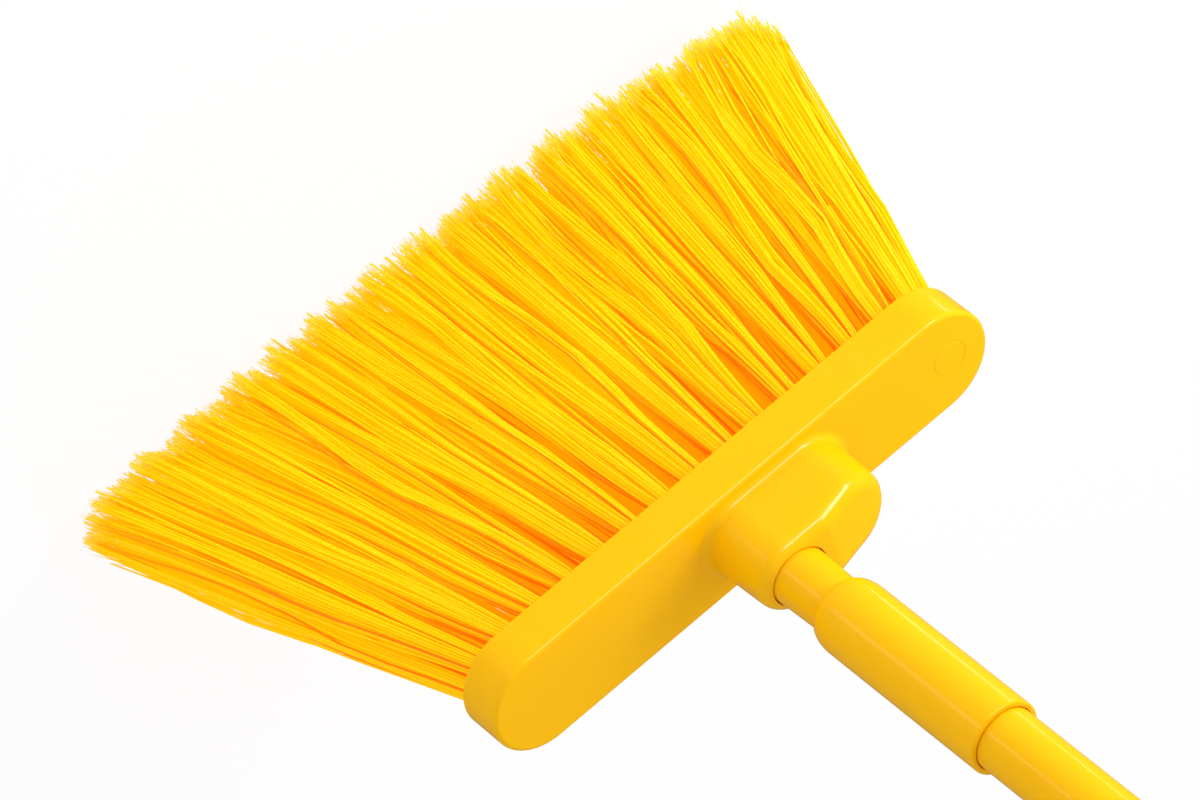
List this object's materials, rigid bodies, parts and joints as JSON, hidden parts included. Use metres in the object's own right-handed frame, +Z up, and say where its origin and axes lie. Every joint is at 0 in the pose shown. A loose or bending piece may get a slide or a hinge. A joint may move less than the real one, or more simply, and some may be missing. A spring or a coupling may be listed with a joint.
{
  "type": "angle broom",
  "caption": "Yellow angle broom: a fan of stiff plastic bristle tufts in a moulded block, cut on a slant, with a screw-in tube handle and a hanging cap.",
  "frame": {"origin": "centre of the object's bounding box in plan, at the lowest bristle ends", "axes": "+Z up along the handle, +X along the block towards the longer side of the cut, -Y the broad side seen in the picture"},
  "size_m": [0.3306, 0.045, 1.4205],
  "materials": {
    "block_plastic": "moulded, satin gloss",
    "bristle": "extruded filament, slightly translucent",
    "anchor_wire": "drawn wire",
    "tip_plastic": "moulded, satin gloss",
    "washer_plastic": "moulded, matt",
    "tube_coating": "smooth coated tube, satin gloss",
    "cap_plastic": "moulded, satin gloss"
  },
  "bodies": {
    "head": {"broom_block": "block_plastic", "tuft_anchors": "anchor_wire", "tuft_back_01": "bristle", "tuft_back_02": "bristle", "tuft_back_03": "bristle", "tuft_back_04": "bristle", "tuft_back_05": "bristle", "tuft_back_06": "bristle", "tuft_back_07": "bristle", "tuft_back_08": "bristle", "tuft_back_09": "bristle", "tuft_back_10": "bristle", "tuft_back_11": "bristle", "tuft_back_12": "bristle", "tuft_back_13": "bristle", "tuft_end_01": "bristle", "tuft_end_02": "bristle", "tuft_end_03": "bristle", "tuft_end_04": "bristle", "tuft_end_05": "bristle", "tuft_end_06": "bristle", "tuft_front_01": "bristle", "tuft_front_02": "bristle", "tuft_front_03": "bristle", "tuft_front_04": "bristle", "tuft_front_05": "bristle", "tuft_front_06": "bristle", "tuft_front_07": "bristle", "tuft_front_08": "bristle", "tuft_front_09": "bristle", "tuft_front_10": "bristle", "tuft_front_11": "bristle", "tuft_front_12": "bristle", "tuft_front_13": "bristle", "tuft_middle_01": "bristle", "tuft_middle_02": "bristle", "tuft_middle_03": "bristle", "tuft_middle_04": "bristle", "tuft_middle_05": "bristle", "tuft_middle_06": "bristle", "tuft_middle_07": "bristle", "tuft_middle_08": "bristle", "tuft_middle_09": "bristle", "tuft_middle_10": "bristle", "tuft_middle_11": "bristle", "tuft_middle_12": "bristle"},
    "washer": {"seat_washer": "washer_plastic"},
    "handle": {"threaded_tip": "tip_plastic", "handle_tube": "tube_coating", "hang_cap": "cap_plastic"}
  },
  "joints": [
    {"name": "handle_lift", "type": "slide", "parent": "head", "child": "washer", "axis": [0, 0, 1], "range_m": [0, 0.0254]},
    {"name": "handle_turn", "type": "hinge", "parent": "washer", "child": "handle", "pos_m": [0, 0, 0.22734], "axis": [0, 0, 1], "range_deg": [0, 1801]}
  ],
  "couplings": [
    {"joint": "handle_turn", "follows": "handle_lift", "rad_per_m": 1236.8}
  ]
}
